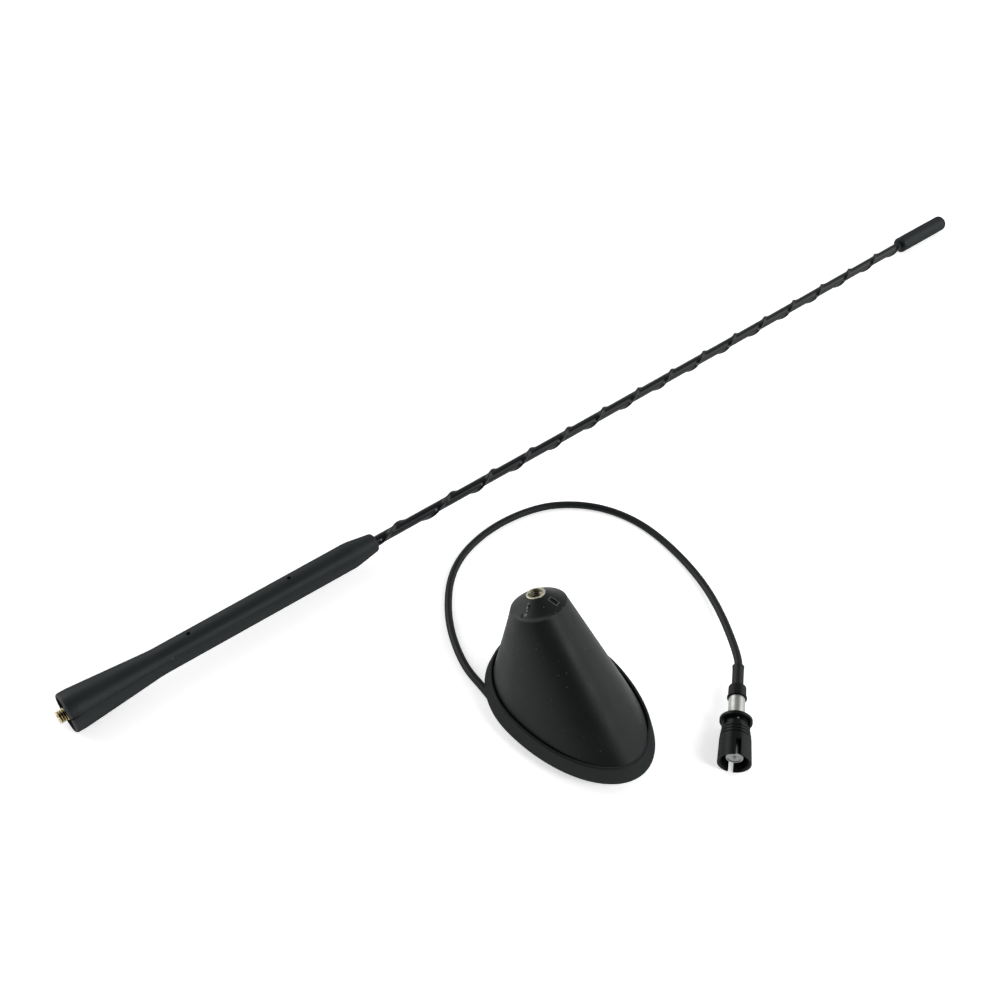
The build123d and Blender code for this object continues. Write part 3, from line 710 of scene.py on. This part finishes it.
def plain_finish(name, metallic, specular):
    """A material with its shader's constants set; gives it with its tree, shader, place, and the amounts of
    painted shade and painted highlight kept on the piece.
    """
    material = bpy.data.materials.new(name)
    material.use_nodes = True
    tree = material.node_tree
    shader = tree.nodes["Principled BSDF"].inputs
    shader["Metallic"].default_value = metallic
    shader["Specular IOR Level"].default_value = specular
    where = node(tree, "ShaderNodeTexCoord").outputs["Object"]
    hollow = node(tree, "ShaderNodeAttribute", attribute_name="hollow").outputs["Fac"]
    rubbed = node(tree, "ShaderNodeAttribute", attribute_name="rubbed").outputs["Fac"]
    return material, tree, shader, where, hollow, rubbed


PATCH_SIZE, GLOSS_SPREAD, GRAIN_DEPTH = 9.0, 0.09, 0.1
DUST_SPACING, DUST_SPOT, DUST_COLOUR = 2.0, 0.09, (0.11, 0.11, 0.107)
# Colour of the painted highlight on marked edges, and colour of the painted shade in recesses with its
# roughness
EDGE_HIGHLIGHT_COLOUR, PAINTED_SHADE_COLOUR, HOLLOW_ROUGHNESS = (0.075, 0.079, 0.082), (0.002, 0.002, 0.002), 0.9


def moulded(name, dark, light, roughness, grain, relief, specular=0.27, dust=0.0, dulling=0.45):
    """Moulded rubber or plastic: two tones in slow patches, pale dust, a painted highlight where an edge is
    marked, painted shade and less gloss in recesses, less gloss where the surface turns away, and a grain of
    a given size in millimetres."""
    material, tree, shader, where, hollow, rubbed = plain_finish(name, 0.0, specular)
    texture = placed(tree, GRAIN, {"Vector": where, "Grain Size": grain, "Patch Size": PATCH_SIZE})
    tone = colour_mix(tree, texture["Patches"], dark, light)
    if dust:
        given = {"Vector": where, "Spacing": DUST_SPACING, "Spot": DUST_SPOT, "Share": dust}
        tone = colour_mix(tree, placed(tree, DUST, given)["Mask"], tone, DUST_COLOUR)
    # Painted highlight where an edge is marked, then painted shade in recesses
    tone = colour_mix(tree, rubbed, tone, EDGE_HIGHLIGHT_COLOUR)
    tree.links.new(colour_mix(tree, hollow, tone, PAINTED_SHADE_COLOUR), shader["Base Color"])
    gloss = value_range(tree, texture["Patches"], roughness - GLOSS_SPREAD, roughness + GLOSS_SPREAD)
    facing = node(tree, "ShaderNodeLayerWeight", {"Blend": 0.5}).outputs["Facing"]
    gloss = maths(tree, "ADD", gloss, value_range(tree, facing, 0.0, dulling, 0.25, 0.75))
    dull = maths(tree, "MULTIPLY", hollow, HOLLOW_ROUGHNESS)
    tree.links.new(maths(tree, "MAXIMUM", gloss, dull), shader["Roughness"])
    given = {"Strength": relief, "Distance": GRAIN_DEPTH * MM, "Height": texture["Height"]}
    tree.links.new(node(tree, "ShaderNodeBump", given).outputs["Normal"], shader["Normal"])
    return material


def scuffs_and_shade(material, colour, marks, depth=0.0):
    """Marks of another colour laid over a moulded material, scuffs and painted shade alike: places in
    millimetres, with their reach. Marks with a depth in millimetres are dents as well."""
    tree = material.node_tree
    shader = tree.nodes["Principled BSDF"].inputs
    where = node(tree, "ShaderNodeTexCoord").outputs["Object"]
    for place, reach in marks:
        given = {"Vector": where, "Centre": Vector(place * MM), "Reach": reach * MM}
        mask = placed(tree, SCUFF_AND_SHADE, given)["Mask"]
        tone = shader["Base Color"].links[0].from_socket
        tree.links.new(colour_mix(tree, mask, tone, colour), shader["Base Color"])
        if depth:
            normal = shader["Normal"].links[0].from_socket
            dent = {"Strength": 1.0, "Distance": depth * MM, "Height": mask, "Normal": normal}
            bump = node(tree, "ShaderNodeBump", dent, invert=True)
            tree.links.new(bump.outputs["Normal"], shader["Normal"])


def turned_metal(name, dull, bright, roughness, axis, pitch=0.18, relief=0.1):
    """Turned metal: a dull and a bright tone in slow patches, painted shade in the hollows, and tool marks
    of a given pitch in millimetres round the axis."""
    material, tree, shader, where, hollow, _ = plain_finish(name, 1.0, 0.5)
    texture = placed(tree, GRAIN, {"Vector": where, "Grain Size": 0.3, "Patch Size": 2.5})
    marks = placed(tree, TURNED, {"Vector": where, "Axis": Vector(axis), "Pitch": pitch})["Height"]
    share = maths(tree, "ADD", texture["Patches"], value_range(tree, marks, -0.25, 0.25))
    tone = colour_mix(tree, share, dull, bright)
    # Painted shade: a dark tone in thread roots and deep in bores
    shade_tone = tuple(0.16 * part for part in dull)
    tree.links.new(colour_mix(tree, hollow, tone, shade_tone), shader["Base Color"])
    tree.links.new(value_range(tree, share, roughness + 0.08, roughness - 0.05), shader["Roughness"])
    bump = node(tree, "ShaderNodeBump", {"Strength": relief, "Distance": 0.05 * MM, "Height": marks})
    tree.links.new(bump.outputs["Normal"], shader["Normal"])
    return material


# Finishes
def grip_rubber():
    """Matt black rubber with a faint blue cast."""
    dark, light = (0.0080, 0.0112, 0.0120), (0.0122, 0.0160, 0.0169)
    material = moulded("grip_rubber", dark, light, 0.47, grain=0.6, relief=0.4, specular=0.20, dust=0.06)
    scuffs_and_shade(material, (0.03, 0.031, 0.032), [(on_mast(5.3, 38.7, PARTING_ANGLE + 0.12), 0.7)])
    return material


def sheath_plastic():
    """Satin shrink plastic on the rod."""
    dark, light = (0.0032, 0.0048, 0.0055), (0.0052, 0.0070, 0.0078)
    return moulded("sheath_plastic", dark, light, 0.20, grain=0.5, relief=0.1, specular=0.24)


def housing_plastic():
    """Fine-grained housing plastic with a little dust, a painted highlight on one side of the cap's edge,
    painted shade in the slit in the cap and in a notch near its rim, and pale chips beside the slit."""
    dark, light = (0.0052, 0.0068, 0.0070), (0.0078, 0.0098, 0.0100)
    surface = {"grain": 0.25, "relief": 0.15, "specular": 0.18, "dust": 0.4, "dulling": 0.1}
    material = moulded("housing_plastic", dark, light, 0.42, **surface)
    tree = material.node_tree
    shader = tree.nodes["Principled BSDF"].inputs
    # Painted highlight: the cap's rim is painted pale on the side toward a turn of 303 degrees from the nose
    toward = cap_place(303.0, 0.0)[0] - SEAT
    given = {
        "Vector": node(tree, "ShaderNodeTexCoord").outputs["Object"],
        "Centre": Vector(SEAT * MM),
        "Axis": Vector(SEAT_DIR),
        "Toward": Vector(toward / np.linalg.norm(toward)),
        "Reach": 0.7 * MM,
    }
    mask = placed(tree, RIM_HIGHLIGHT, given)["Mask"]
    tone = shader["Base Color"].links[0].from_socket
    tree.links.new(colour_mix(tree, mask, tone, (0.045, 0.047, 0.048)), shader["Base Color"])
    # Painted shade: the slit and a notch near the rim are painted near black, and dented as well
    slit = [(cap_place(296.0, rise)[0], 0.5) for rise in (0.72, 0.61, 0.50)]
    scuffs_and_shade(material, PAINTED_SHADE_COLOUR, [*slit, (cap_place(283.6, 0.18)[0], 0.7)], depth=0.6)
    chips = ((288.0, 0.76, 0.5), (288.5, 0.60, 0.6), (291.5, 0.45, 0.45), (290.0, 0.26, 0.7))
    marks = [(cap_place(turn, rise)[0], reach) for turn, rise, reach in chips]
    scuffs_and_shade(material, (0.13, 0.135, 0.135), marks)
    return material


def pocket_edge_highlight():
    """The same plastic painted pale, as a painted highlight on the raised edge round the pocket."""
    dark, light = (0.075, 0.080, 0.078), (0.130, 0.137, 0.133)
    return moulded("pocket_edge_highlight", dark, light, 0.45, grain=0.25, relief=0.2, specular=0.3)


def gasket_rubber():
    """Dull rubber with a little dust."""
    dark, light = (0.0074, 0.0098, 0.0098), (0.0104, 0.0134, 0.0133)
    return moulded("gasket_rubber", dark, light, 0.5, grain=0.3, relief=0.25, specular=0.16, dust=0.1)


def cable_jacket():
    """Smooth jacket of the lead and its shrink sleeve."""
    dark, light = (0.0070, 0.0086, 0.0092), (0.0104, 0.0126, 0.0133)
    return moulded("cable_jacket", dark, light, 0.40, grain=0.4, relief=0.2, specular=0.18)


def plug_plastic():
    """Satin plastic of the locking sleeve and the boot."""
    dark, light = (0.0030, 0.0038, 0.0040), (0.0045, 0.0055, 0.0057)
    material = moulded("plug_plastic", dark, light, 0.27, grain=0.3, relief=0.1, specular=0.12, dust=0.12)
    scuffs_and_shade(material, (0.30, 0.30, 0.30), [(on_plug(4.1, 24.95, math.radians(3.6)), 0.4)])
    return material


def insulator():
    """Natural plastic round the centre contact."""
    return moulded("insulator", (0.50, 0.505, 0.50), (0.60, 0.605, 0.60), 0.45, grain=0.4, relief=0.1)


def core_fibre():
    """Straw-coloured glass fibre of the rod."""
    return moulded("core_fibre", (0.60, 0.57, 0.46), (0.72, 0.69, 0.57), 0.5, grain=0.3, relief=0.2)


def stud_brass():
    """Yellow brass of the mast's stud and the contact."""
    return turned_metal("stud_brass", (0.50, 0.40, 0.20), (0.82, 0.71, 0.45), 0.26, MAST_DIR)


def insert_brass():
    """Paler, washed brass of the insert in the housing."""
    return turned_metal("insert_brass", (0.38, 0.355, 0.25), (0.56, 0.53, 0.42), 0.32, SEAT_DIR)


def copper():
    """Bare copper of the feed wire."""
    return turned_metal("copper", (0.55, 0.28, 0.16), (0.80, 0.46, 0.31), 0.3, ALONG_Z)


def plug_metal():
    """Nickel plate of the plug's barrel and contact."""
    dull, bright = (0.26, 0.27, 0.255), (0.42, 0.43, 0.41)
    return turned_metal("plug_metal", dull, bright, 0.36, PLUG_DIR, relief=0.15)


def die_cast():
    """Grey die-cast plate."""
    dull, bright = (0.42, 0.42, 0.42), (0.60, 0.60, 0.59)
    return turned_metal("die_cast", dull, bright, 0.5, ALONG_Z, pitch=1.5, relief=0.3)


def screw_steel():
    """Zinc-plated steel of the screws."""
    return turned_metal("screw_steel", (0.50, 0.50, 0.49), (0.68, 0.68, 0.66), 0.32, ALONG_Z)


FINISHES = {
    "grip_rubber": grip_rubber(),
    "sheath_plastic": sheath_plastic(),
    "housing_plastic": housing_plastic(),
    "gasket_rubber": gasket_rubber(),
    "cable_jacket": cable_jacket(),
    "plug_plastic": plug_plastic(),
    "insulator": insulator(),
    "core_fibre": core_fibre(),
    "brass": stud_brass(),
    "copper": copper(),
    "plug_metal": plug_metal(),
    "die_cast": die_cast(),
    "screw_steel": screw_steel(),
}
NODE_SLOT = {row["node"]: row["material_slot"] for row in frame["record"]["subparts"]}
for name, cad_node in nodes.items():
    cad_node.data.materials.clear()
    cad_node.data.materials.append(FINISHES[NODE_SLOT[name]])
for piece in [*PIECES, lead]:
    piece.data.materials.append(FINISHES[piece["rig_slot"]])
PIECE["threaded_socket"].data.materials[0] = insert_brass()
# Painted highlight: the pocket's raised frame is painted pale all over
PIECE["pocket_frame"].data.materials[0] = pocket_edge_highlight()

# Floor: white paper that keeps the shadows
FLOOR_HALF, FLOOR_WHITE, FLOOR_LIFT = 1.2, 0.92, 0.5
floor_corners = FLOOR_HALF * np.array([(-1, -1, 0), (1, -1, 0), (1, 1, 0), (-1, 1, 0)])
floor_mesh = bpy.data.meshes.new("floor")
floor_mesh.from_pydata(floor_corners.tolist(), [], [(0, 1, 2, 3)])
floor = bpy.data.objects.new("floor", floor_mesh)
scene.collection.objects.link(floor)
paper = bpy.data.materials.new("paper")
paper.use_nodes = True
tree = paper.node_tree
shader = tree.nodes["Principled BSDF"].inputs
shader["Base Color"].default_value = (FLOOR_WHITE, FLOOR_WHITE, FLOOR_WHITE, 1)
shader["Roughness"].default_value = 1.0
shader["Specular IOR Level"].default_value = 0.0
shader["Emission Color"].default_value = (1, 1, 1, 1)
path = node(tree, "ShaderNodeLightPath").outputs
seen = maths(tree, "MAXIMUM", path["Is Camera Ray"], path["Is Glossy Ray"])
seen = maths(tree, "MAXIMUM", seen, path["Is Transmission Ray"])
tree.links.new(maths(tree, "MULTIPLY", seen, FLOOR_LIFT), shader["Emission Strength"])
floor_mesh.materials.append(paper)

# Light: a pale room that is darker behind the camera and white low over the floor, and large soft boxes
ROOM_PALE, ROOM_DARK, BACKDROP_HEIGHT, BACKDROP_END = 0.56, 0.06, 0.14, 0.22
LAMP_AIM = Vector((0, 0.05, 0.02))
world = bpy.data.worlds.new("world")
scene.world = world
world.use_nodes = True
tree = world.node_tree
background = tree.nodes["Background"].inputs
way = node(tree, "ShaderNodeTexCoord").outputs["Generated"]
room = value_range(tree, dot(tree, way, -look), ROOM_PALE, ROOM_DARK, 0.25, 0.75)
rise = node(tree, "ShaderNodeSeparateXYZ", {0: way}).outputs["Z"]
backdrop = value_range(tree, rise, 1.0, 0.0, BACKDROP_HEIGHT, BACKDROP_END)
tree.links.new(maths(tree, "MAXIMUM", room, backdrop), background["Strength"])
background["Color"].default_value = (1, 1, 1, 1)


def soft_box(name, place, width, height, power):
    """An area lamp that faces the middle of the object."""
    lamp_data = bpy.data.lights.new(name, "AREA")
    lamp_data.shape = "RECTANGLE"
    lamp_data.size = width
    lamp_data.size_y = height
    lamp_data.energy = power
    lamp = bpy.data.objects.new(name, lamp_data)
    scene.collection.objects.link(lamp)
    lamp.location = place
    lamp.rotation_euler = (LAMP_AIM - Vector(place)).to_track_quat("-Z", "Y").to_euler()


soft_box("right_box", (0.85, 1.35, 0.80), 1.9, 1.2, 15.0)
soft_box("left_box", (-1.40, -0.50, 0.80), 1.5, 1.3, 17.0)
soft_box("key_box", (0.95, 0.20, 0.90), 0.40, 0.55, 6.0)
